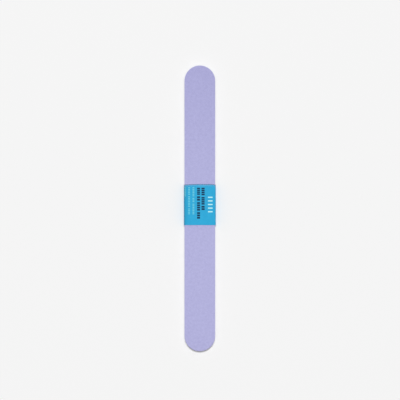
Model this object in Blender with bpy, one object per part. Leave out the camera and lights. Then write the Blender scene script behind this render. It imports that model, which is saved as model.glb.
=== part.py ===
"""Double-sided cushioned nail file with a paper band round its middle.

Metres, +Z up. The file lies flat along Y, with its front face up. X = 0 and Y = 0 are the middle of
the board, and Z = 0 is the surface that it lies on, which only the lap of the band touches.
"""

import math

import bmesh
import bpy
from mathutils import Vector

# Outline of the board: straight sides with half-round ends
BOARD_LENGTH = 0.1778
BOARD_WIDTH = 0.01905
ARC_STEPS = 24

# Thickness of each layer of the board
CORE_THICKNESS = 0.001
CORE_ADHESIVE_THICKNESS = 0.0001
FOAM_THICKNESS = 0.0011
FACE_ADHESIVE_THICKNESS = 0.0001
FILM_THICKNESS = 0.000125
COAT_THICKNESS = 0.00015

# Rim left by the cutting die: the faces roll down to it, and the foam springs back into a waist
ROLL_WIDTH = 0.0007
ROLL_DROP = 0.0002
ROLL_STEPS = 2
FOAM_WAIST = 0.00015
WAIST_STEPS = 4

# Paper band, wrapped round the board with a running clearance
BAND_WIDTH = 0.0254
BAND_OFFSET = 0.0023
PAPER_THICKNESS = 0.0002
BAND_CLEARANCE = 0.0001
FOLD_RADIUS = 0.0004
FOLD_STEPS = 6

# Lap of the band's two ends, under the file
LAP_LENGTH = 0.008
LAP_END_GAP = 0.0002
JOGGLE_LENGTH = 0.0016
JOGGLE_STEPS = 6
GLUE_THICKNESS = 0.00005
GLUE_MARGIN = 0.0008

# Linear colours, roughness and metallic value of each material
LILAC_GRIT = ((0.445, 0.440, 0.708), 0.85, 0.0)
CLEAR_FILM = ((0.640, 0.630, 0.780), 0.25, 0.0)
TRANSFER_ADHESIVE = ((0.700, 0.680, 0.600), 0.45, 0.0)
WHITE_FOAM = ((0.790, 0.785, 0.800), 0.90, 0.0)
WHITE_PLASTIC = ((0.830, 0.830, 0.820), 0.40, 0.0)
BLUE_PAPER = ((0.034, 0.402, 0.701), 0.50, 0.0)
CLEAR_GLUE = ((0.600, 0.620, 0.600), 0.30, 0.0)

# The layers on one side of the core, from the core outwards. The foam gives way under the die, so
# everything outside it rolls down at the rim, and the adhesive inside it stays flat.
SIDE_LAYERS = (
    ("core_adhesive", CORE_ADHESIVE_THICKNESS, TRANSFER_ADHESIVE),
    ("foam_pad", FOAM_THICKNESS, WHITE_FOAM),
    ("face_adhesive", FACE_ADHESIVE_THICKNESS, TRANSFER_ADHESIVE),
    ("polyester_film", FILM_THICKNESS, CLEAR_FILM),
    ("abrasive_coat", COAT_THICKNESS, LILAC_GRIT),
)
FLAT_LAYER = "core_adhesive"
WAISTED_LAYER = "foam_pad"

# Heights that the layers give, the middle of the board's own measured from the surface it lies on
HALF_BOARD = CORE_THICKNESS / 2 + sum(thickness for _, thickness, _ in SIDE_LAYERS)
LAP_DROP = PAPER_THICKNESS + GLUE_THICKNESS
BAND_HALF_HEIGHT = HALF_BOARD + BAND_CLEARANCE
BAND_HALF_GIRTH = BOARD_WIDTH / 2 + BAND_CLEARANCE
BOARD_MIDDLE = BAND_HALF_HEIGHT + LAP_DROP + PAPER_THICKNESS


def clear_scene():
    for thing in list(bpy.data.objects):
        bpy.data.objects.remove(thing, do_unlink=True)


def material(name, finish):
    colour, roughness, metallic = finish
    made = bpy.data.materials.new(name)
    made.use_nodes = True
    shader = made.node_tree.nodes["Principled BSDF"]
    shader.inputs["Base Color"].default_value = (*colour, 1.0)
    shader.inputs["Roughness"].default_value = roughness
    shader.inputs["Metallic"].default_value = metallic
    made.diffuse_color = (*colour, 1.0)
    return made


def carrier(name, place):
    """An empty that carries the pieces of one body, at the middle of the board or on the slide's axis."""
    empty = bpy.data.objects.new(name, None)
    empty.location = place
    bpy.context.scene.collection.objects.link(empty)
    return empty


def add_piece(name, shape, finish, parent):
    bmesh.ops.recalc_face_normals(shape, faces=shape.faces)
    mesh = bpy.data.meshes.new(name)
    shape.to_mesh(mesh)
    shape.free()
    mesh.shade_smooth()
    mesh.set_sharp_from_angle(angle=math.radians(30))
    mesh.materials.append(material(name + "_finish", finish))
    piece = bpy.data.objects.new(name, mesh)
    piece.parent = parent
    bpy.context.scene.collection.objects.link(piece)
    return piece


def board_outline(inset):
    """Points round the board's outline, drawn in by inset, from the right end of the upper arc."""
    radius = BOARD_WIDTH / 2 - inset
    arc_centre = (BOARD_LENGTH - BOARD_WIDTH) / 2
    turns = [math.pi * step / ARC_STEPS for step in range(ARC_STEPS + 1)]
    upper = [(radius * math.cos(turn), arc_centre + radius * math.sin(turn)) for turn in turns]
    return upper + [(-x, -y) for x, y in upper]


def ring_edges(shape, ring):
    return [shape.edges.get((a, b)) or shape.edges.new((a, b)) for a, b in zip(ring, ring[1:] + ring[:1])]


def close_face(shape, ring):
    """Fills a ring with two half-round ends and the straight field between them."""
    upper, lower = ring[: ARC_STEPS + 1], ring[ARC_STEPS + 1 :]
    shape.faces.new(upper)
    shape.faces.new(lower)
    shape.faces.new((upper[0], upper[-1], lower[0], lower[-1]))


def board_layer(rings):
    """A solid through rings of the board's outline, each an inset and a height, from face to face."""
    shape = bmesh.new()
    loops = [
        [shape.verts.new((x, y, height)) for x, y in board_outline(inset)] for inset, height in rings
    ]
    for lower, upper in zip(loops, loops[1:]):
        bmesh.ops.bridge_loops(shape, edges=ring_edges(shape, lower) + ring_edges(shape, upper))
    close_face(shape, loops[0])
    close_face(shape, loops[-1])
    return shape


def rolled_face(height, drop):
    """Rings of a face that falls by drop at its rim, along a parabola, from the flat field outwards."""
    shares = [step / ROLL_STEPS for step in range(ROLL_STEPS + 1)]
    return [(ROLL_WIDTH * (1 - share), height - drop * share**2) for share in shares]


def waisted_wall(low, high):
    """Rings between two heights of a cut edge that is drawn in along a parabola."""
    shares = [step / WAIST_STEPS for step in range(1, WAIST_STEPS)]
    return [(FOAM_WAIST * 4 * share * (1 - share), low + (high - low) * share) for share in shares]


def add_core(board):
    half = CORE_THICKNESS / 2
    add_piece("core_board", board_layer([(0, -half), (0, half)]), WHITE_PLASTIC, board)


def add_side(board, side, up):
    """The layers between the core and one face. up is 1 for the front and -1 for the back."""
    height, inner = CORE_THICKNESS / 2, [(0, CORE_THICKNESS / 2)]
    for name, thickness, finish in SIDE_LAYERS:
        height += thickness
        outer = [(0, height)] if name == FLAT_LAYER else rolled_face(height, ROLL_DROP)
        wall = waisted_wall(inner[-1][1], outer[-1][1]) if name == WAISTED_LAYER else []
        rings = inner + wall + outer[::-1]
        shape = board_layer([(inset, up * level) for inset, level in rings])
        add_piece(f"{name}_{side}", shape, finish, board)
        inner = outer


def fold(centre_x, centre_z, start):
    """Inner points of the paper at a fold, a quarter turn clockwise from start, each with its outward way."""
    turns = [start - math.pi / 2 * step / FOLD_STEPS for step in range(FOLD_STEPS + 1)]
    ways = [Vector((math.cos(turn), math.sin(turn))) for turn in turns]
    return [(Vector((centre_x, centre_z)) + FOLD_RADIUS * way, way) for way in ways]


def joggle():
    """Inner points of the paper where it steps down over the other end, along an S."""
    down = Vector((0, -1))
    start = LAP_LENGTH / 2 + LAP_END_GAP + JOGGLE_LENGTH
    shares = [step / JOGGLE_STEPS for step in range(JOGGLE_STEPS + 1)]
    return [
        (
            Vector((start - JOGGLE_LENGTH * share, -BAND_HALF_HEIGHT - LAP_DROP * share**2 * (3 - 2 * share))),
            down,
        )
        for share in shares
    ]


def band_line():
    """The inner line of the paper round the board, from the covered end to the free end of the lap."""
    side, level = BAND_HALF_GIRTH - FOLD_RADIUS, BAND_HALF_HEIGHT - FOLD_RADIUS
    down = Vector((0, -1))
    line = [(Vector((LAP_LENGTH / 2, -BAND_HALF_HEIGHT)), down)]
    line += fold(-side, -level, -math.pi / 2)
    line += fold(-side, level, math.pi)
    line += fold(side, level, math.pi / 2)
    line += fold(side, -level, 0)
    line += joggle()
    line.append((Vector((-LAP_LENGTH / 2, -BAND_HALF_HEIGHT - LAP_DROP)), down))
    return line


def add_paper_band(band):
    shape = bmesh.new()
    start = -BAND_WIDTH / 2
    pairs = [
        [shape.verts.new((point.x, start, point.y)) for point in (inner, inner + PAPER_THICKNESS * way)]
        for inner, way in band_line()
    ]
    section = [shape.faces.new((a, b, d, c)) for (a, b), (c, d) in zip(pairs, pairs[1:])]
    grown = bmesh.ops.extrude_face_region(shape, geom=section, use_keep_orig=True)["geom"]
    far = [thing for thing in grown if isinstance(thing, bmesh.types.BMVert)]
    bmesh.ops.translate(shape, verts=far, vec=(0, BAND_WIDTH, 0))
    add_piece("paper_band", shape, BLUE_PAPER, band)


def add_band_glue(band):
    shape = bmesh.new()
    bmesh.ops.create_cube(shape, size=1)
    size = (LAP_LENGTH - 2 * GLUE_MARGIN, BAND_WIDTH - 2 * GLUE_MARGIN, GLUE_THICKNESS)
    bmesh.ops.scale(shape, verts=shape.verts, vec=size)
    level = -BAND_HALF_HEIGHT - PAPER_THICKNESS - GLUE_THICKNESS / 2
    bmesh.ops.translate(shape, verts=shape.verts, vec=(0, 0, level))
    add_piece("band_glue", shape, CLEAR_GLUE, band)


def main():
    clear_scene()
    board = carrier("board", (0, 0, BOARD_MIDDLE))
    add_core(board)
    add_side(board, "front", 1)
    add_side(board, "back", -1)
    band = carrier("band_slide", (0, BAND_OFFSET, BOARD_MIDDLE))
    add_paper_band(band)
    add_band_glue(band)


main()
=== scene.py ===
import math

import bmesh
import bpy
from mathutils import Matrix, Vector, noise


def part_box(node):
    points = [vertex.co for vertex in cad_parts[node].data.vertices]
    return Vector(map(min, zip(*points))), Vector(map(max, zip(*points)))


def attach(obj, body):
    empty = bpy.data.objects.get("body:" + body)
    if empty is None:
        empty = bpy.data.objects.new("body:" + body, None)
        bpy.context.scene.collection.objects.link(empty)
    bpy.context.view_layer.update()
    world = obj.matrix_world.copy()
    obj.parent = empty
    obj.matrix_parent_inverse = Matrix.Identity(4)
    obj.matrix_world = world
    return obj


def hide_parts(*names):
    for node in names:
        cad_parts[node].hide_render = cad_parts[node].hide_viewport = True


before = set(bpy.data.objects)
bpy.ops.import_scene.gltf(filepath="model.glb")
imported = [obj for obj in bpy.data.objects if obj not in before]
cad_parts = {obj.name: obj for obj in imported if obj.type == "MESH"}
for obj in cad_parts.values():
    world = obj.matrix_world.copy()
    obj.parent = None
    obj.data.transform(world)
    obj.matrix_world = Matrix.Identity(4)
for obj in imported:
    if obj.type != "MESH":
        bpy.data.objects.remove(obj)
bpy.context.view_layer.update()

# Core sheet
# A stiff sheet of white polystyrene in the middle of the board, die-cut together with all that is
# laid on it. Only its cut edge shows, where the steel rule of the die leaves fine upright lines.
CORE_LOW, CORE_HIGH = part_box("core_board")
BOARD_LENGTH = CORE_HIGH.y - CORE_LOW.y
BOARD_WIDTH = CORE_HIGH.x - CORE_LOW.x
BOARD_MIDDLE = (CORE_LOW.z + CORE_HIGH.z) / 2
SIDES = (("front", 1.0), ("back", -1.0))
FILLET_STEPS = 48
WELD = 0.000001
SHARP_ANGLE = math.radians(35)
CELL_CUP = (0.1, 0.6)
OPEN_CELLS = (0.2, 0.9)
CORE_WHITE = (0.800, 0.800, 0.785)
CORE_SHADE = (0.660, 0.665, 0.680)
CORE_ROUGHNESS = 0.42
RULE_LINE_SIZE = 0.00012
RULE_LINE_STRETCH = (1.0, 1.0, 0.08)
RULE_LINE_DEPTH = 0.000012
PLAIN_EDGE = {"Roll Width": 0.0004, "Roll Steps": 1, "Wall Steps": 2, "Spacing": 0.0005}


def put(tree, kind, wires=(), **settings):
    """Adds a node of this kind to a tree with its settings, and sets or wires the sockets named."""
    made = tree.nodes.new(kind)
    for name, value in settings.items():
        setattr(made, name, value)
    for socket, value in dict(wires).items():
        if isinstance(value, bpy.types.NodeSocket):
            tree.links.new(value, made.inputs[socket])
        else:
            made.inputs[socket].default_value = value
    return made


def worked(tree, operation, *values):
    """The result of a Math node on up to three numbers or sockets."""
    return put(tree, "ShaderNodeMath", dict(enumerate(values)), operation=operation).outputs[0]


def worked_vector(tree, operation, *values, **wires):
    """The result of a Vector Math node, a number for a length or a dot product."""
    wires = {**dict(enumerate(values)), **wires}
    made = put(tree, "ShaderNodeVectorMath", wires, operation=operation)
    return made.outputs["Value" if operation in ("DOT_PRODUCT", "LENGTH") else "Vector"]


def split(tree, vector):
    """The X, Y and Z of a vector or a colour."""
    return put(tree, "ShaderNodeSeparateXYZ", {0: vector}).outputs


def vector_of(tree, **parts):
    """A vector from its X, Y and Z, each 0 where it isn't given."""
    return put(tree, "ShaderNodeCombineXYZ", parts).outputs[0]


def ranged(tree, value, low, high, to_low=0.0, to_high=1.0):
    """A value taken from one range to another, clamped."""
    wires = {"Value": value, "From Min": low, "From Max": high, "To Min": to_low, "To Max": to_high}
    return put(tree, "ShaderNodeMapRange", wires).outputs[0]


def blended(tree, share, first, second):
    """A colour between two, by a share from 0 to 1."""
    mix = put(tree, "ShaderNodeMix", {0: share}, data_type="RGBA")
    for socket, value in ((mix.inputs[6], first), (mix.inputs[7], second)):
        if isinstance(value, bpy.types.NodeSocket):
            tree.links.new(value, socket)
        else:
            socket.default_value = (*value, 1.0)
    return mix.outputs[2]


def speckle(tree, place, size, stretch=(1.0, 1.0, 1.0), detail=2.0):
    """Noise from 0 to 1 with features of about this size, longer along an axis of small stretch."""
    scaled = put(tree, "ShaderNodeMapping", {"Vector": place, "Scale": stretch}).outputs[0]
    wires = {"Vector": scaled, "Scale": 1 / size, "Detail": detail}
    return put(tree, "ShaderNodeTexNoise", wires).outputs["Fac"]


def cells(tree, place, scale):
    """Distance from the middle of the nearest cell, and a random number that the cell has."""
    made = put(tree, "ShaderNodeTexVoronoi", {"Vector": place, "Scale": scale}).outputs
    return made["Distance"], split(tree, made["Color"])["X"]


def start_finish(name, colour, roughness=0.5):
    """A new material: itself, its tree, its shader and the coordinates of the object it is on."""
    made = bpy.data.materials.new(name)
    made.use_nodes = True
    tree = made.node_tree
    shader = tree.nodes["Principled BSDF"]
    shader.inputs["Base Color"].default_value = (*colour, 1.0)
    shader.inputs["Roughness"].default_value = roughness
    return made, tree, shader, put(tree, "ShaderNodeTexCoord").outputs["Object"]


def tint(tree, shader, share, first, second):
    """Colours a surface between two colours, by a share from 0 to 1."""
    tree.links.new(blended(tree, share, first, second), shader.inputs["Base Color"])


def relief(tree, shader, height, depth):
    """Raises a surface by this depth in metres where the height is 1."""
    bump = put(tree, "ShaderNodeBump", {"Height": height, "Distance": depth})
    tree.links.new(bump.outputs[0], shader.inputs["Normal"])


def core_finish():
    made, tree, shader, place = start_finish("core_polystyrene", CORE_WHITE, CORE_ROUGHNESS)
    lines = speckle(tree, place, RULE_LINE_SIZE, stretch=RULE_LINE_STRETCH, detail=3.0)
    tint(tree, shader, lines, CORE_SHADE, CORE_WHITE)
    relief(tree, shader, lines, RULE_LINE_DEPTH)
    return made


def start_tree(name, sizes, counts, takes_mesh=False):
    """A Geometry Nodes tree with named inputs for its sizes, its counts and its material."""
    tree = bpy.data.node_groups.new(name, "GeometryNodeTree")
    tree.interface.new_socket("Geometry", in_out="OUTPUT", socket_type="NodeSocketGeometry")
    if takes_mesh:
        tree.interface.new_socket("Geometry", in_out="INPUT", socket_type="NodeSocketGeometry")
    for inputs, kind in ((sizes, "NodeSocketFloat"), (counts, "NodeSocketInt")):
        for wanted in inputs:
            tree.interface.new_socket(wanted, in_out="INPUT", socket_type=kind)
    tree.interface.new_socket("Material", in_out="INPUT", socket_type="NodeSocketMaterial")
    return tree, put(tree, "NodeGroupInput").outputs


def end_tree(tree, given, geometry):
    """Ends a tree in real geometry with its material set."""
    real = put(tree, "GeometryNodeRealizeInstances", {"Geometry": geometry}).outputs[0]
    wires = {"Geometry": real, "Material": given["Material"]}
    dressed = put(tree, "GeometryNodeSetMaterial", wires).outputs[0]
    tree.links.new(dressed, put(tree, "NodeGroupOutput").inputs[0])


def outline_spot(tree, outline, turn, inset, height):
    """The point at a share of the outline's turn, drawn in and raised, and its way outwards."""
    wires = {"Curves": outline, "Factor": turn}
    sample = put(tree, "GeometryNodeSampleCurve", wires, mode="FACTOR").outputs
    flat = sample["Position"]
    across = worked_vector(tree, "CROSS_PRODUCT", sample["Tangent"], (0.0, 0.0, 1.0))
    side = worked(tree, "SIGN", worked_vector(tree, "DOT_PRODUCT", across, flat))
    outward = worked_vector(tree, "SCALE", across, Scale=side)
    pull = worked_vector(tree, "SCALE", outward, Scale=inset)
    drawn_in = worked_vector(tree, "SUBTRACT", flat, pull)
    return worked_vector(tree, "ADD", drawn_in, vector_of(tree, Z=height)), outward


def edge_profile(tree, given, climb):
    """The rows of the cut edge, and at each share of its climb from face to face, how far it has
    rolled over, its inset and its height."""
    rows = worked(tree, "MULTIPLY_ADD", given["Roll Steps"], 2.0, given["Wall Steps"])
    rim = worked(tree, "DIVIDE", given["Roll Steps"], rows)
    nearer = worked(tree, "MINIMUM", climb, worked(tree, "SUBTRACT", 1.0, climb))
    rolled = worked(tree, "MINIMUM", worked(tree, "DIVIDE", nearer, rim), 1.0)
    wall = ranged(tree, climb, rim, worked(tree, "SUBTRACT", 1.0, rim))

    # The waist follows 4 w (1 - w), which is 0 at both ends of the wall and 1 halfway up it
    fullness = worked(tree, "SUBTRACT", 4.0, worked(tree, "MULTIPLY", wall, 4.0))
    belly = worked(tree, "MULTIPLY", wall, fullness)
    waist = worked(tree, "MULTIPLY_ADD", given["Waist"], belly, given["Inset"])
    unrolled = worked(tree, "SUBTRACT", 1.0, rolled)
    inset = worked(tree, "MULTIPLY_ADD", given["Roll Width"], unrolled, waist)

    # Both faces fall along a parabola towards the rim
    fall = worked(tree, "MULTIPLY", rolled, rolled)
    foot = worked(tree, "SUBTRACT", given["Low"], worked(tree, "MULTIPLY", given["Low Drop"], fall))
    drop = worked(tree, "MULTIPLY", given["High Drop"], fall)
    head = worked(tree, "SUBTRACT", given["High"], drop)
    height = worked(tree, "MULTIPLY_ADD", wall, worked(tree, "SUBTRACT", head, foot), foot)
    return rows, rolled, inset, height


def pitted(tree, given, point, outward, rolled):
    """A point of the edge, pushed in where a cell lies open there. Not every cell does."""
    away, own = cells(tree, point, worked(tree, "DIVIDE", 1.0, given["Pit Size"]))
    cup = ranged(tree, away, *CELL_CUP, 1.0, 0.0)
    cup = worked(tree, "MULTIPLY", cup, ranged(tree, own, *OPEN_CELLS))
    depth = worked(tree, "MULTIPLY", cup, worked(tree, "MULTIPLY", given["Pit Depth"], rolled))
    push = worked_vector(tree, "SCALE", outward, Scale=depth)
    return worked_vector(tree, "SUBTRACT", point, push)


def die_cut_tree():
    """A layer with half-round ends: a wall round its outline, two rolled rims, two flat faces."""
    sizes = (
        "Length", "Width", "Inset", "Low", "High", "Low Drop", "High Drop", "Roll Width", "Waist",
        "Spacing", "Pit Size", "Pit Depth", "Side", "Middle",
    )
    tree, given = start_tree("die_cut_layer", sizes, ("Roll Steps", "Wall Steps", "Fillet Steps"))
    square = {"Width": given["Width"], "Height": given["Length"]}
    rounding = {
        "Curve": put(tree, "GeometryNodeCurvePrimitiveQuadrilateral", square).outputs[0],
        "Count": given["Fillet Steps"],
        "Radius": worked(tree, "MULTIPLY", given["Width"], 0.5),
        "Limit Radius": True,
    }
    outline = put(tree, "GeometryNodeFilletCurve", rounding, mode="POLY").outputs[0]
    girth = put(tree, "GeometryNodeCurveLength", {"Curve": outline}).outputs[0]
    around = worked(tree, "ROUND", worked(tree, "DIVIDE", girth, given["Spacing"]))

    # The edge is a grid whose X goes round the outline and whose Y climbs from face to face
    unit = split(tree, put(tree, "GeometryNodeInputPosition").outputs[0])
    climb = worked(tree, "ADD", unit["Y"], 0.5)
    turn = worked(tree, "ADD", unit["X"], 0.5)
    rows, rolled, inset, height = edge_profile(tree, given, climb)
    point, outward = outline_spot(tree, outline, turn, inset, height)
    counts = {
        "Vertices X": worked(tree, "ADD", around, 1.0),
        "Vertices Y": worked(tree, "ADD", rows, 1.0),
    }
    edge = {
        "Geometry": put(tree, "GeometryNodeMeshGrid", counts).outputs["Mesh"],
        "Position": pitted(tree, given, point, outward, rolled),
    }
    parts = [put(tree, "GeometryNodeSetPosition", edge).outputs[0]]

    # Each flat face is one disc, its rim on the inner row of the edge
    share = worked(tree, "DIVIDE", put(tree, "GeometryNodeInputIndex").outputs[0], around)
    field = worked(tree, "ADD", given["Roll Width"], given["Inset"])
    for level in ("Low", "High"):
        disc = put(tree, "GeometryNodeMeshCircle", {"Vertices": around}, fill_type="NGON")
        point, _ = outline_spot(tree, outline, share, field, given[level])
        face = {"Geometry": disc.outputs["Mesh"], "Position": point}
        parts.append(put(tree, "GeometryNodeSetPosition", face).outputs[0])
    joined = put(tree, "GeometryNodeJoinGeometry")
    for part in parts:
        tree.links.new(part, joined.inputs[0])
    loose = {"Geometry": joined.outputs[0], "Distance": WELD}
    placed = {
        "Geometry": put(tree, "GeometryNodeMergeByDistance", loose).outputs[0],
        "Translation": vector_of(tree, Z=given["Middle"]),
        "Scale": vector_of(tree, X=1.0, Y=1.0, Z=given["Side"]),
    }
    end_tree(tree, given, put(tree, "GeometryNodeTransform", placed).outputs[0])
    return tree


DIE_CUT_LAYER = die_cut_tree()


def applied_mesh(piece):
    """The plain mesh of a piece with its modifiers applied."""
    bpy.context.view_layer.update()
    evaluated = piece.evaluated_get(bpy.context.evaluated_depsgraph_get())
    return bpy.data.meshes.new_from_object(evaluated)


def add_object(name, mesh):
    piece = bpy.data.objects.new(name, mesh)
    bpy.context.scene.collection.objects.link(piece)
    return piece


def grow(name, tree, values, start=None):
    """The plain mesh object that a Geometry Nodes tree makes, its inputs set by identifier."""
    seed = add_object(name + "_seed", start or bpy.data.meshes.new(name))
    modifier = seed.modifiers.new("grow", "NODES")
    modifier.node_group = tree
    sockets = {s.name: s.identifier for s in tree.interface.items_tree if s.in_out == "INPUT"}
    for key, value in values.items():
        modifier[sockets[key]] = value
    mesh = applied_mesh(seed)
    bpy.data.objects.remove(seed)
    mesh.name = name
    return add_object(name, mesh)


def smooth(piece):
    """Shades a piece smooth, with only its real corners sharp."""
    piece.data.shade_smooth()
    piece.data.set_sharp_from_angle(angle=SHARP_ANGLE)
    return piece


def face_outwards(piece):
    """Merges doubles and turns every face of a piece outwards."""
    shape = bmesh.new()
    shape.from_mesh(piece.data)
    bmesh.ops.remove_doubles(shape, verts=shape.verts, dist=WELD)
    bmesh.ops.recalc_face_normals(shape, faces=shape.faces)
    shape.to_mesh(piece.data)
    shape.free()
    return piece


def level_above(node, way):
    """How far the flat outer face of a layer lies from the middle of the board."""
    low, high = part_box(node)
    return high.z - BOARD_MIDDLE if way > 0 else BOARD_MIDDLE - low.z


def cut_layer(name, node, low, high, slot, finish, **edge):
    """A die-cut layer between two levels, which stands for a node of the board."""
    values = {
        "Length": BOARD_LENGTH, "Width": BOARD_WIDTH, "Middle": BOARD_MIDDLE, "Side": 1.0,
        "Low": low, "High": high, "Fillet Steps": FILLET_STEPS,
        "Pit Size": RULE_LINE_SIZE, "Material": finish,
    }
    piece = smooth(face_outwards(grow(name, DIE_CUT_LAYER, {**values, **edge})))
    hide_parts(node)
    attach(piece, "board")
    return piece


cut_layer(
    "core_sheet", "core_board", CORE_LOW.z - BOARD_MIDDLE, CORE_HIGH.z - BOARD_MIDDLE,
    "core_plastic", core_finish(), **PLAIN_EDGE,
)

# Core tapes
# Transfer adhesive, a tenth of a millimetre on each side of the core, which holds the foam to it.
# The rule drags it back a little as it cuts, and its edge stays tacky and holds grinding dust.
TAPE_CREAM = (0.690, 0.670, 0.580)
TAPE_DUST = (0.500, 0.490, 0.540)
TAPE_ROUGHNESS = (0.3, 0.8)
TAPE_RELIEF = 0.000008
TAPE_INSET = 0.00002
DUST_SIZE = 0.0004
DUST_SPREAD = (0.42, 0.72)


def roughen(tree, shader, value, roughness, span=(0.0, 1.0)):
    """Sets a surface's roughness by a value: one where its span starts, another where it ends."""
    tree.links.new(ranged(tree, value, *span, *roughness), shader.inputs["Roughness"])


def tape_finish():
    made, tree, shader, place = start_finish("transfer_tape", TAPE_CREAM)
    dust = ranged(tree, speckle(tree, place, DUST_SIZE, detail=5.0), *DUST_SPREAD)
    tint(tree, shader, dust, TAPE_CREAM, TAPE_DUST)
    roughen(tree, shader, dust, TAPE_ROUGHNESS)
    relief(tree, shader, speckle(tree, place, RULE_LINE_SIZE, detail=3.0), TAPE_RELIEF)
    return made


tape = tape_finish()
for side, way in SIDES:
    cut_layer(
        f"core_tape_{side}", f"core_adhesive_{side}",
        level_above("core_board", way), level_above(f"core_adhesive_{side}", way),
        "transfer_adhesive", tape, Side=way, Inset=TAPE_INSET, **PLAIN_EDGE,
    )

# Foam pads
# White closed-cell foam. The rule squeezes it as it cuts, so its edge springs back into a slight
# waist with its face rolled over, and the cut lays some of its cells open.
ROLL_WIDTH = 0.0006
ROLL_DROP = 0.00012
FOAM_WHITE = (0.780, 0.775, 0.790)
FOAM_SHADE = (0.580, 0.575, 0.615)
FOAM_ROUGHNESS = 0.92
FOAM_CELL_SIZE = 0.00026
FOAM_FINE_CELL_SIZE = 0.00009
FOAM_FINE_CELL_REACH = 0.7
FOAM_PATCH_SIZE = 5 * FOAM_CELL_SIZE
FOAM_PATCHES = (0.3, 0.8)
FOAM_RELIEF = 0.00002
FOAM_EDGE = {
    "Roll Width": ROLL_WIDTH, "Roll Steps": 2, "High Drop": ROLL_DROP, "Wall Steps": 11,
    "Spacing": 0.00012, "Waist": 0.00012, "Pit Size": FOAM_CELL_SIZE, "Pit Depth": 0.00006,
}


def foam_finish():
    made, tree, shader, place = start_finish("closed_cell_foam", FOAM_WHITE, FOAM_ROUGHNESS)
    away, own = cells(tree, place, 1 / FOAM_FINE_CELL_SIZE)
    skin = worked(tree, "MULTIPLY", ranged(tree, away, 0.0, FOAM_FINE_CELL_REACH, 1.0, 0.0), own)
    patches = ranged(tree, speckle(tree, place, FOAM_PATCH_SIZE, detail=4.0), *FOAM_PATCHES)
    shade = worked(tree, "MULTIPLY", worked(tree, "ADD", skin, patches), 0.5)
    tint(tree, shader, shade, FOAM_WHITE, FOAM_SHADE)
    relief(tree, shader, worked(tree, "SUBTRACT", 1.0, skin), FOAM_RELIEF)
    return made


foam = foam_finish()
for side, way in SIDES:
    cut_layer(
        f"foam_{side}", f"foam_pad_{side}",
        level_above(f"core_adhesive_{side}", way), level_above(f"foam_pad_{side}", way),
        "foam", foam, Side=way, **FOAM_EDGE,
    )

# Face tapes
# The same transfer adhesive between foam and film, a tenth of a millimetre of it. It follows the
# foam down where the rim is rolled over.
ROLLED_EDGE = {
    "Roll Width": ROLL_WIDTH, "Roll Steps": 2, "Low Drop": ROLL_DROP, "High Drop": ROLL_DROP,
    "Wall Steps": 1, "Spacing": 0.0003,
}
for side, way in SIDES:
    cut_layer(
        f"face_tape_{side}", f"face_adhesive_{side}",
        level_above(f"foam_pad_{side}", way), level_above(f"face_adhesive_{side}", way),
        "transfer_adhesive", tape, Side=way, Inset=TAPE_INSET, **ROLLED_EDGE,
    )

# Films
# Clear polyester film an eighth of a millimetre thick, which carries the grit. Its cut edge is
# glassy and picks up the lilac of the coat on it.
FILM_LILAC = (0.600, 0.590, 0.760)
FILM_CLEAR = (0.720, 0.715, 0.800)
FILM_ROUGHNESS = (0.12, 0.35)
FILM_STREAK_SIZE = 2 * RULE_LINE_SIZE
FILM_STREAK_STRETCH = (1.0, 1.0, 0.1)
NOISE_SPAN = (0.3, 0.7)


def film_finish():
    made, tree, shader, place = start_finish("clear_polyester", FILM_CLEAR)
    streaks = speckle(tree, place, FILM_STREAK_SIZE, stretch=FILM_STREAK_STRETCH)
    tint(tree, shader, streaks, FILM_LILAC, FILM_CLEAR)
    roughen(tree, shader, streaks, FILM_ROUGHNESS, span=NOISE_SPAN)
    relief(tree, shader, streaks, RULE_LINE_DEPTH)
    return made


film = film_finish()
for side, way in SIDES:
    cut_layer(
        f"film_{side}", f"polyester_film_{side}",
        level_above(f"face_adhesive_{side}", way), level_above(f"polyester_film_{side}", way),
        "polyester_film", film, Side=way, **ROLLED_EDGE,
    )

# Abrasive coats
# Aluminium oxide grains in a lilac resin, coarser on the back, with a dry lubricant over them that
# leaves them matt. The coat is faintly cloudy, and painted shade makes it a little darker towards
# both ends, as if the light fell strongest 29 mm from the middle towards the near end. It breaks
# rather than cuts, so its edge is ragged.
LILAC_DEEP = (0.394, 0.386, 0.690)
LILAC_PALE = (0.611, 0.607, 0.918)
GRIT_SIZE = {"front": 0.00011, "back": 0.00015}
GRIT_RUFFLE = 0.5
GRIT_TONE = 0.35
GRIT_ROUGHNESS = (0.95, 0.6)
GRIT_SPECULAR = 0.3
GRIT_RELIEF = 0.00005
FINE_GRIT_SHARE = 0.4
FINE_GRIT_TONE = 0.25
FACET_LEAN = 1.6
CLOUD_SIZE = 0.0015
CLOUD_TONE = (-0.1, 0.5)
# Where the painted light on the coat is strongest, and how fast painted shade darkens it away from
# there
COAT_PAINTED_LIGHT_PEAK = -0.029
COAT_PAINTED_SHADE_FALLOFF = 18.0
COAT_EDGE = {"Pit Size": 0.00018, "Pit Depth": 0.00004}


def facets(tree, place, size):
    """The height of flat facets of about this size that lean every way, and each one's number."""
    made = put(tree, "ShaderNodeTexVoronoi", {"Vector": place, "Scale": 1 / size}).outputs
    lean = worked_vector(tree, "SUBTRACT", made["Color"], (0.5, 0.5, 0.5))
    away = worked_vector(tree, "SUBTRACT", place, made["Position"])
    away = worked_vector(tree, "SCALE", away, Scale=1 / size)
    slope = worked_vector(tree, "DOT_PRODUCT", away, lean)
    own = split(tree, made["Color"])["X"]
    return worked(tree, "MULTIPLY_ADD", slope, FACET_LEAN, own), own


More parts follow.
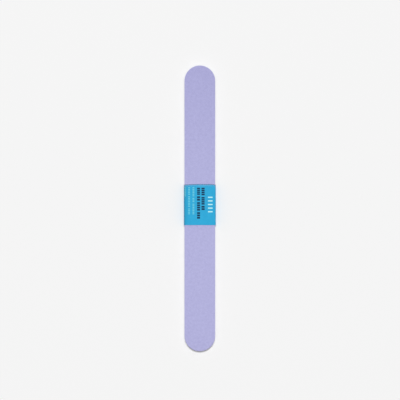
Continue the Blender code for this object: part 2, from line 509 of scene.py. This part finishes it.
def coat_finish(side):
    made, tree, shader, place = start_finish(f"lilac_grit_{side}", LILAC_PALE)
    size = GRIT_SIZE[side]
    ruffle = put(tree, "ShaderNodeTexNoise", {"Vector": place, "Scale": 1 / size}).outputs["Color"]
    moved = worked_vector(tree, "MULTIPLY_ADD", ruffle, (size * GRIT_RUFFLE,) * 3, place)
    coarse, own = facets(tree, moved, size)
    fine, fine_own = facets(tree, moved, size * FINE_GRIT_SHARE)
    cloud = speckle(tree, place, CLOUD_SIZE, detail=4.0)
    tone = ranged(tree, cloud, 0.0, 1.0, *CLOUD_TONE)
    tone = worked(tree, "MULTIPLY_ADD", own, GRIT_TONE, tone)
    tone = worked(tree, "MULTIPLY_ADD", fine_own, FINE_GRIT_TONE, tone)

    # Painted shade: the tone darkens with the square of the way from where the painted light is
    # strongest
    from_painted_light_peak = worked(tree, "SUBTRACT", split(tree, place)["Y"], COAT_PAINTED_LIGHT_PEAK)
    squared = worked(tree, "MULTIPLY", from_painted_light_peak, from_painted_light_peak)
    tone = worked(tree, "ADD", tone, worked(tree, "MULTIPLY", squared, -COAT_PAINTED_SHADE_FALLOFF))
    tint(tree, shader, tone, LILAC_DEEP, LILAC_PALE)
    roughen(tree, shader, own, GRIT_ROUGHNESS)
    shader.inputs["Specular IOR Level"].default_value = GRIT_SPECULAR
    height = worked(tree, "MULTIPLY_ADD", fine, FINE_GRIT_SHARE, coarse)
    relief(tree, shader, height, GRIT_RELIEF)
    return made


coats = {}
for side, way in SIDES:
    coats[side] = cut_layer(
        f"coat_{side}", f"abrasive_coat_{side}",
        level_above(f"polyester_film_{side}", way), level_above(f"abrasive_coat_{side}", way),
        "abrasive_coat", coat_finish(side), Side=way, **ROLLED_EDGE, **COAT_EDGE,
    )

# Proud grains
# The largest oxide grains, held by the resin like the rest but standing out of it on both faces.
# They are whiter than the coat, turned every way, and closer together in the finer grit in front.
GRAIN_LILAC = (0.500, 0.495, 0.760)
GRAIN_WHITE = (0.820, 0.815, 0.900)
GRAIN_TONES = (0.35, 1.0)
GRAIN_ROUGHNESS = (0.6, 0.3)
GRAIN_SPECK_SIZE = GRIT_SIZE["front"] / 4
GRAIN_RELIEF = GRIT_RELIEF / 10
GRAIN_SINK = 0.00002
GRAIN_SHAPE = ((0.5, 0.5, 0.5), (1.0, 1.0, 1.0))
GRAINS = {
    "front": {"Smallest": 0.00008, "Largest": 0.00015, "Gap": 0.00029, "Density": 2e7, "Seed": 11},
    "back": {"Smallest": 0.00010, "Largest": 0.00018, "Gap": 0.00034, "Density": 1.5e7, "Seed": 23},
}
LEVEL_ENOUGH = 0.8


def stored(tree, name, kind="Fac"):
    """What a mesh holds under this name, as a number or as a vector."""
    return put(tree, "ShaderNodeAttribute", attribute_name=name).outputs[kind]


def grain_finish():
    made, tree, shader, place = start_finish("oxide_grain", GRAIN_WHITE)
    tone = ranged(tree, stored(tree, "grain_tone"), *GRAIN_TONES)
    tint(tree, shader, tone, GRAIN_LILAC, GRAIN_WHITE)
    roughen(tree, shader, tone, GRAIN_ROUGHNESS)
    relief(tree, shader, speckle(tree, place, GRAIN_SPECK_SIZE), GRAIN_RELIEF)
    return made


def chance(tree, given, number, low, high):
    """Random numbers or vectors between two, one for each point, from a seed of their own."""
    seed = worked(tree, "ADD", given["Seed"], float(number))
    if isinstance(low, tuple):
        wires = {0: low, 1: high, "Seed": seed}
        return put(tree, "FunctionNodeRandomValue", wires, data_type="FLOAT_VECTOR").outputs[0]
    wires = {2: low, 3: high, "Seed": seed}
    return put(tree, "FunctionNodeRandomValue", wires, data_type="FLOAT").outputs[1]


def grit_tree():
    """Grains scattered over the outer face of a coat, more than half sunk in it."""
    sizes = ("Smallest", "Largest", "Gap", "Density", "Sink", "Side")
    tree, given = start_tree("grit", sizes, ("Seed",), takes_mesh=True)
    upright = split(tree, put(tree, "GeometryNodeInputNormal").outputs[0])["Z"]
    facing = {0: worked(tree, "MULTIPLY", upright, given["Side"]), 1: LEVEL_ENOUGH}
    outer = put(tree, "FunctionNodeCompare", facing, data_type="FLOAT", operation="GREATER_THAN")
    spread = {
        "Mesh": given["Geometry"], "Selection": outer.outputs[0], "Distance Min": given["Gap"],
        "Density Max": given["Density"], "Seed": given["Seed"],
    }
    spots = put(tree, "GeometryNodeDistributePointsOnFaces", spread, distribute_method="POISSON")
    down = worked(tree, "MULTIPLY", given["Sink"], -1.0)
    sunk = {
        "Geometry": spots.outputs["Points"],
        "Offset": worked_vector(tree, "SCALE", spots.outputs["Normal"], Scale=down),
    }
    size = chance(tree, given, 1, given["Smallest"], given["Largest"])
    shape = chance(tree, given, 2, *GRAIN_SHAPE)
    crystal = put(tree, "GeometryNodeMeshUVSphere", {"Segments": 5, "Rings": 2, "Radius": 0.5})
    turned = {
        "Points": put(tree, "GeometryNodeSetPosition", sunk).outputs[0],
        "Instance": crystal.outputs["Mesh"],
        "Rotation": chance(tree, given, 3, (0.0, 0.0, 0.0), (math.tau, math.tau, math.tau)),
        "Scale": worked_vector(tree, "SCALE", shape, Scale=size),
    }
    laid = put(tree, "GeometryNodeInstanceOnPoints", turned).outputs[0]
    toned = {"Geometry": laid, "Name": "grain_tone", "Value": chance(tree, given, 4, 0.0, 1.0)}
    named = put(
        tree, "GeometryNodeStoreNamedAttribute", toned, data_type="FLOAT", domain="INSTANCE"
    )
    end_tree(tree, given, named.outputs[0])
    return tree


GRIT = grit_tree()
oxide = grain_finish()
for side, way in SIDES:
    values = {**GRAINS[side], "Sink": GRAIN_SINK, "Side": way, "Material": oxide}
    grains = grow(f"grains_{side}", GRIT, values, start=coats[side].data.copy())
    grains.data.shade_flat()
    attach(grains, "board")

# Paper band
# One strip of white paper printed blue on its outer side, folded round the board and lapped under
# it. It bulges at its sides, its creases are rubbed, and its upper edge sags at both creases.
BAND_LOW, BAND_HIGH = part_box("paper_band")
_, GLUE_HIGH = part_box("band_glue")
PAPER = 0.0002
FOLD_RADIUS = 0.0007
FOLD_STEPS = 10
LAP_LENGTH = 0.008
LAP_END_GAP = 0.0002
JOGGLE_LENGTH = 0.0016
JOGGLE_STEPS = 12
STRIP_STEP = 0.0004
BAND_ROWS = 56
BAND_BOW = 0.00006
BOW_LOSS_MIDWAY = 0.5
BAND_BULGE = 0.00012
BULGE_AT_CREASE = 0.4
BULGE_STEEPNESS = 8
EDGE_RISE = 0.00012
EDGE_SAG = {"right": (0.00045, 6), "left": (0.00040, 2)}
EDGE_WAVER = 0.00006
WAVER_SIZE = 0.004
CREASE_REACH = 0.001
# How much painted shade lies in the creases on the right and on the left
CREASE_SHADE = {"right": 0.08, "left": 0.70}
# How far below the upper edge of the band the colour is darker
UPPER_EDGE_DARK_REACH = 0.00045
RIDGE = (0.7, 1.0)
RIDGE_WEAR = 0.2
EDGE_WEAR = 0.2
EDGE_WEAR_REACH = 0.0024
SCUFF_SIZE = 0.00008
SCUFF_STRETCH = (1.0, 0.3, 1.0)
RUBBED_THROUGH = (0.70, 0.80)
PAPER_BLUE = (0.026, 0.415, 0.715)
PAPER_BLUE_DEEP = (0.020, 0.365, 0.650)
# The colour of the painted shade in the creases
CREASE_SHADE_BLUE = (0.012, 0.200, 0.340)
UPPER_EDGE_DARK_BLUE = (0.007, 0.055, 0.180)
RUBBED_BLUE = (0.400, 0.450, 0.600)
BLUE_ROUGHNESS = (0.5, 0.68)
BLUE_SPECULAR = 0.12
BLUE_CLOUD_SIZE = 0.0032
PAPER_WHITE = (0.800, 0.800, 0.785)
PAPER_SHADE = (0.704, 0.704, 0.6908)
PAPER_ROUGHNESS = 0.85
FIBRE_SIZE = 0.00016
FIBRE_STRETCH = (1.0, 0.35, 1.0)
FIBRE_DEPTH = 0.000012
BARE_FIBRE_DEPTH = 0.000024
INK_NAVY = (0.003, 0.030, 0.080)
INK_PALE = (0.150, 0.600, 0.740)
INK_WHITE = (0.500, 0.890, 0.930)
INK_EDGE = 0.00005
INK_ROUNDING = 0.0002

# The print is rows of rounded strokes. A row has its middle across the front, the height of its
# strokes and the share of their pitch that is inked. Each group in it has its upper end, its lower
# end and its number of strokes.
PRINTED_ROWS = (
    {
        "middle": 0.0065, "height": 0.0029, "inked": 0.33, "ink": INK_WHITE,
        "groups": ((0.0080, -0.0032, 5),),
    },
    {
        "middle": 0.0020, "height": 0.0020, "inked": 0.77, "ink": INK_NAVY,
        "groups": ((0.0130, 0.0080, 4), (0.0072, 0.0022, 4), (0.0017, -0.0012, 2)),
    },
    {
        "middle": -0.0008, "height": 0.0019, "inked": 0.77, "ink": INK_NAVY,
        "groups": (
            (0.0130, 0.0083, 4), (0.0077, 0.0046, 2), (0.0040, -0.0016, 4), (-0.0022, -0.0066, 3),
        ),
    },
    {
        "middle": -0.0040, "height": 0.0012, "inked": 0.60, "ink": INK_PALE,
        "groups": ((0.0133, 0.0073, 6), (0.0067, 0.0037, 3), (0.0031, -0.0039, 7)),
    },
    {
        "middle": -0.0067, "height": 0.0012, "inked": 0.60, "ink": INK_PALE,
        "groups": ((0.0133, 0.0083, 5), (0.0077, 0.0007, 7), (0.0001, -0.0039, 4)),
    },
    {
        "middle": -0.0094, "height": 0.0015, "inked": 0.80, "ink": INK_PALE,
        "groups": ((0.0133, 0.0073, 6),),
    },
)


def quarter(centre_x, centre_z, start):
    """Points of the paper's outer side round a crease, a quarter turn clockwise from start, each
    with whether it is the ridge."""
    points = []
    for step in range(FOLD_STEPS + 1):
        turn = start - math.pi / 2 * step / FOLD_STEPS
        x = centre_x + FOLD_RADIUS * math.cos(turn)
        z = centre_z + FOLD_RADIUS * math.sin(turn)
        points.append((x, z, step == FOLD_STEPS // 2))
    return points


def run(start, end):
    """Points between two on a straight run, evenly spaced, with neither end."""
    steps = max(2, round(math.dist(start[:2], end[:2]) / STRIP_STEP))
    shares = [step / steps for step in range(1, steps)]
    return [(*Vector(start[:2]).lerp(Vector(end[:2]), share), False) for share in shares]


def joggle(start, high, low):
    """Points where the paper steps down over its own covered end, along an S."""
    shares = [step / JOGGLE_STEPS for step in range(JOGGLE_STEPS + 1)]
    return [
        (start - JOGGLE_LENGTH * share, high - (high - low) * share**2 * (3 - 2 * share), False)
        for share in shares
    ]


def strip_line():
    """The outer side of the strip as seen along the file, each point with whether it is a ridge."""
    side, top = BAND_HIGH.x - FOLD_RADIUS, BAND_HIGH.z - FOLD_RADIUS
    level = GLUE_HIGH.z
    line = [(LAP_LENGTH / 2, level, False)]
    for stretch in (
        quarter(-side, level + FOLD_RADIUS, -math.pi / 2),
        quarter(-side, top, math.pi),
        quarter(side, top, math.pi / 2),
        quarter(side, level + FOLD_RADIUS, 0.0),
        joggle(LAP_LENGTH / 2 + LAP_END_GAP + JOGGLE_LENGTH, level, BAND_LOW.z),
        [(-LAP_LENGTH / 2, BAND_LOW.z, False)],
    ):
        line += run(line[-1], stretch[0]) + stretch
    return line


def strip_point(place, share):
    """A point of the strip, from its place on the line and how far up the band it is, 0 to 1."""
    x, z, _ = place
    aside = abs(x) / BAND_HIGH.x
    waver = EDGE_WAVER * noise.noise(Vector((x, z, share)) / WAVER_SIZE)
    sag, steepness = EDGE_SAG["left" if x < 0 else "right"]
    low = BAND_LOW.y + waver
    high = BAND_HIGH.y + EDGE_RISE - sag * aside**steepness + waver
    if z > GLUE_HIGH.z:
        wall = BAND_HIGH.z - GLUE_HIGH.z
        belly = math.sin(math.pi * (z - GLUE_HIGH.z) / wall)
        belly = BULGE_AT_CREASE + (1 - BULGE_AT_CREASE) * belly
        x += math.copysign(BAND_BULGE * aside**BULGE_STEEPNESS * belly, x)
    if z > BAND_HIGH.z - PAPER:
        kept = 1 - BOW_LOSS_MIDWAY * math.sin(math.pi * share)
        z += BAND_BOW * (1 - (x / BAND_HIGH.x) ** 2) * kept
    return x, low + (high - low) * share, z


def strokes_of_ink(tree, strip, row, group):
    """1 on the rounded strokes of one group of a row, 0 off them."""
    start, end, strokes = group
    reach = start - end
    pitch = reach / strokes
    place = split(tree, strip)
    along = worked(tree, "SUBTRACT", start, place["Y"])
    within = worked(tree, "COMPARE", along, reach / 2, reach / 2)
    from_stroke = worked(tree, "PINGPONG", worked(tree, "ADD", along, pitch / 2), pitch / 2)
    across = worked(tree, "ABSOLUTE", worked(tree, "SUBTRACT", place["X"], row["middle"]))
    away = vector_of(tree, X=across, Y=from_stroke)
    half = (row["height"] / 2 - INK_ROUNDING, row["inked"] * pitch / 2 - INK_ROUNDING, 0.0)
    beyond = worked_vector(tree, "SUBTRACT", away, half)
    beyond = worked_vector(tree, "MAXIMUM", beyond, (0.0, 0.0, 0.0))
    distance = worked_vector(tree, "LENGTH", beyond)
    ink = ranged(tree, distance, INK_ROUNDING - INK_EDGE, INK_ROUNDING + INK_EDGE, 1.0, 0.0)
    return worked(tree, "MULTIPLY", ink, within)


def printed_blue_finish():
    made, tree, shader, place = start_finish("printed_blue", PAPER_BLUE)
    strip = stored(tree, "strip_place", "Vector")
    from_edge = stored(tree, "upper_edge")
    across, _, crease = split(tree, strip)
    fibre = speckle(tree, place, FIBRE_SIZE, stretch=FIBRE_STRETCH, detail=4.0)
    cloud = speckle(tree, place, BLUE_CLOUD_SIZE, detail=3.0)
    both = worked(tree, "MULTIPLY_ADD", cloud, 0.5, worked(tree, "MULTIPLY", fibre, 0.5))
    colour = blended(tree, ranged(tree, both, *NOISE_SPAN), PAPER_BLUE_DEEP, PAPER_BLUE)
    for row in PRINTED_ROWS:
        for group in row["groups"]:
            colour = blended(tree, strokes_of_ink(tree, strip, row, group), colour, row["ink"])

    # Painted shade in the creases, deepest in the left ones, which turn away from the lamp; and a
    # darker line along the upper edge
    crease_shade_ends = (CREASE_SHADE["left"], CREASE_SHADE["right"])
    crease_shade_share = ranged(tree, across, -FOLD_RADIUS, FOLD_RADIUS, *crease_shade_ends)
    colour = blended(tree, worked(tree, "MULTIPLY", crease, crease_shade_share), colour, CREASE_SHADE_BLUE)
    # The colour is darker over the last half millimetre below the upper edge
    edge_darkening = ranged(tree, from_edge, UPPER_EDGE_DARK_REACH / 2, UPPER_EDGE_DARK_REACH, 1.0, 0.0)
    colour = blended(tree, edge_darkening, colour, UPPER_EDGE_DARK_BLUE)

    # Specks where the ink has rubbed off, most of them on the ridges and towards the upper edge
    worn = speckle(tree, place, SCUFF_SIZE, stretch=SCUFF_STRETCH, detail=5.0)
    worn = worked(tree, "MULTIPLY_ADD", ranged(tree, crease, *RIDGE), RIDGE_WEAR, worn)
    at_edge = ranged(tree, from_edge, UPPER_EDGE_DARK_REACH, EDGE_WEAR_REACH, EDGE_WEAR, 0.0)
    rubbed = ranged(tree, worked(tree, "ADD", at_edge, worn), *RUBBED_THROUGH)
    tint(tree, shader, rubbed, colour, RUBBED_BLUE)
    roughen(tree, shader, fibre, BLUE_ROUGHNESS, span=NOISE_SPAN)
    shader.inputs["Specular IOR Level"].default_value = BLUE_SPECULAR
    relief(tree, shader, fibre, FIBRE_DEPTH)
    return made


def bare_paper_finish():
    made, tree, shader, place = start_finish("bare_paper", PAPER_WHITE, PAPER_ROUGHNESS)
    fibre = speckle(tree, place, FIBRE_SIZE, stretch=FIBRE_STRETCH, detail=5.0)
    tint(tree, shader, fibre, PAPER_SHADE, PAPER_WHITE)
    relief(tree, shader, fibre, BARE_FIBRE_DEPTH)
    return made


def strip_places(line):
    """For each point of the line, its way along the strip from the middle of the front, and how
    near it is to a ridge, 1 on one and falling off from it."""
    reach = [0.0]
    for before, after in zip(line, line[1:]):
        reach.append(reach[-1] + math.dist(before[:2], after[:2]))
    front = min(range(len(line)), key=lambda i: abs(line[i][0]) - line[i][1])
    ridges = [along for along, point in zip(reach, line) if point[2]]
    gaps = [min(abs(along - ridge) for ridge in ridges) for along in reach]
    return [
        (along - reach[front], math.exp(-gap / CREASE_REACH)) for along, gap in zip(reach, gaps)
    ]


def finished_mesh(name, shape):
    mesh = bpy.data.meshes.new(name)
    shape.to_mesh(mesh)
    shape.free()
    return mesh


def strip_sheet():
    """The strip's outer side as a grid, column by column along the line. Each point holds its place
    on the strip with its crease, and how far below the upper edge it is."""
    line = strip_line()
    shape = bmesh.new()
    columns = [
        [shape.verts.new(strip_point(place, row / BAND_ROWS)) for row in range(BAND_ROWS + 1)]
        for place in line
    ]
    for one, two in zip(columns, columns[1:]):
        for i in range(BAND_ROWS):
            shape.faces.new((one[i], two[i], two[i + 1], one[i + 1]))
    mesh = finished_mesh("printed_band", shape)
    mesh.attributes.new("strip_place", "FLOAT_VECTOR", "POINT")
    mesh.attributes.new("upper_edge", "FLOAT", "POINT")
    strip, upper_edge = mesh.attributes["strip_place"].data, mesh.attributes["upper_edge"].data
    for column, (along, crease) in enumerate(strip_places(line)):
        first = column * (BAND_ROWS + 1)
        top = mesh.vertices[first + BAND_ROWS].co.y
        for i in range(first, first + BAND_ROWS + 1):
            up = mesh.vertices[i].co.y
            strip[i].vector = (along, up, crease)
            upper_edge[i].value = top - up
    return mesh


def paper_strip():
    """The strip with its wall grown inwards, printed outside, white inside and at its cut edges."""
    mesh = strip_sheet()
    for finish in (printed_blue_finish(), bare_paper_finish()):
        mesh.materials.append(finish)
    piece = add_object("printed_band", mesh)
    wall = piece.modifiers.new("paper", "SOLIDIFY")
    wall.thickness = PAPER
    wall.offset = -1.0
    wall.use_even_offset = True
    wall.material_offset = 1
    wall.material_offset_rim = 1
    solid = applied_mesh(piece)
    piece.modifiers.clear()
    piece.data = solid
    return smooth(piece)


band = paper_strip()
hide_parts("paper_band")
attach(band, "band")

# Band glue
# A thin line of dispersion glue inside the lap, dried clear and slightly yellow round small
# bubbles. The frame's own solid has its shape, so it only gets its finish here.
GLUE_CLEAR = (0.640, 0.620, 0.500)
GLUE_BUBBLE = (0.740, 0.735, 0.680)
GLUE_ROUGHNESS = (0.4, 0.2)
BUBBLE_SIZE = 0.0005
BUBBLE_RIM = (0.2, 0.5)


def glue_finish():
    made, tree, shader, place = start_finish("dried_glue", GLUE_CLEAR)
    away, _ = cells(tree, place, 1 / BUBBLE_SIZE)
    clear = ranged(tree, away, *BUBBLE_RIM)
    tint(tree, shader, clear, GLUE_BUBBLE, GLUE_CLEAR)
    roughen(tree, shader, clear, GLUE_ROUGHNESS)
    relief(tree, shader, clear, TAPE_RELIEF)
    return made


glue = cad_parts["band_glue"].data.materials
glue.clear()
glue.append(glue_finish())

# Table
# A plain pale studio table, which reaches past the view on every side. It lies a hundredth of a
# millimetre below the lap of the band, so that the two don't share a plane.
TABLE_TONE = 0.913
TABLE_ROUGHNESS = 0.9
TABLE_REACH = 3.0
TABLE_LEVEL = -0.00001

table_paint, _, table_shader, _ = start_finish("studio_table", (TABLE_TONE,) * 3, TABLE_ROUGHNESS)
table_shader.inputs["Specular IOR Level"].default_value = 0.0
shape = bmesh.new()
bmesh.ops.create_grid(shape, x_segments=4, y_segments=4, size=TABLE_REACH)
bmesh.ops.translate(shape, verts=shape.verts, vec=(0.0, 0.0, TABLE_LEVEL))
table_top = finished_mesh("table", shape)
table_top.materials.append(table_paint)
add_object("table", table_top)

# Lamp and room
# One soft box high overhead, off towards the far end of the file and a little to the right, in an
# even white room. Together they light a level surface at strength 1, and the room is seen, and
# mirrored, in the tone of the table.
LAMP_DISTANCE = 12.0
LAMP_WIDTH = 1.2
LAMP_DEPTH = 2.4
LAMP_LEAN = math.radians(13)
LAMP_SWING = math.radians(2)
LAMP_SHARE = 0.655
ROOM_SHARE = 0.35

# A lamp of (pi d) squared watts lights a surface that faces it from d metres at strength 1
full_energy = (math.pi * LAMP_DISTANCE) ** 2 / math.cos(LAMP_LEAN)
lamp_data = bpy.data.lights.new("soft_box", "AREA")
lamp_data.shape = "RECTANGLE"
lamp_data.size = LAMP_WIDTH
lamp_data.size_y = LAMP_DEPTH
lamp_data.energy = LAMP_SHARE * full_energy
lamp = bpy.data.objects.new("soft_box", lamp_data)
lamp.rotation_euler = (-LAMP_LEAN, 0.0, -LAMP_SWING)
lamp.location = lamp.rotation_euler.to_matrix() @ Vector((0.0, 0.0, LAMP_DISTANCE))
bpy.context.scene.collection.objects.link(lamp)

room = bpy.data.worlds.new("white_room")
room.use_nodes = True
walls = room.node_tree.nodes["Background"]
walls.inputs["Color"].default_value = (1.0, 1.0, 1.0, 1.0)
rays = put(room.node_tree, "ShaderNodeLightPath").outputs
mirrored = worked(room.node_tree, "MAXIMUM", rays["Is Glossy Ray"], rays["Is Transmission Ray"])
seen = worked(room.node_tree, "MAXIMUM", rays["Is Camera Ray"], mirrored)
strength = ranged(room.node_tree, seen, 0.0, 1.0, ROOM_SHARE, TABLE_TONE)
room.node_tree.links.new(strength, walls.inputs["Strength"])
bpy.context.scene.world = room

# Camera
# Straight above, with a long lens. The view is square and takes in 249 mm of the table. Its middle
# lies 5 mm from the middle of the file, towards the far end.
VIEW_WIDTH = 0.2489
VIEW_MIDDLE = (0.0001, 0.0052)
LENS = 200.0
SENSOR = 36.0
CLIP_START = 0.05

camera_data = bpy.data.cameras.new("photo_camera")
camera_data.lens = LENS
camera_data.sensor_width = SENSOR
camera_data.clip_start = CLIP_START
camera = bpy.data.objects.new("photo_camera", camera_data)
camera.location = (*VIEW_MIDDLE, BAND_HIGH.z + VIEW_WIDTH * LENS / SENSOR)
bpy.context.scene.collection.objects.link(camera)
bpy.context.scene.camera = camera
bpy.context.scene.view_settings.view_transform = "Standard"
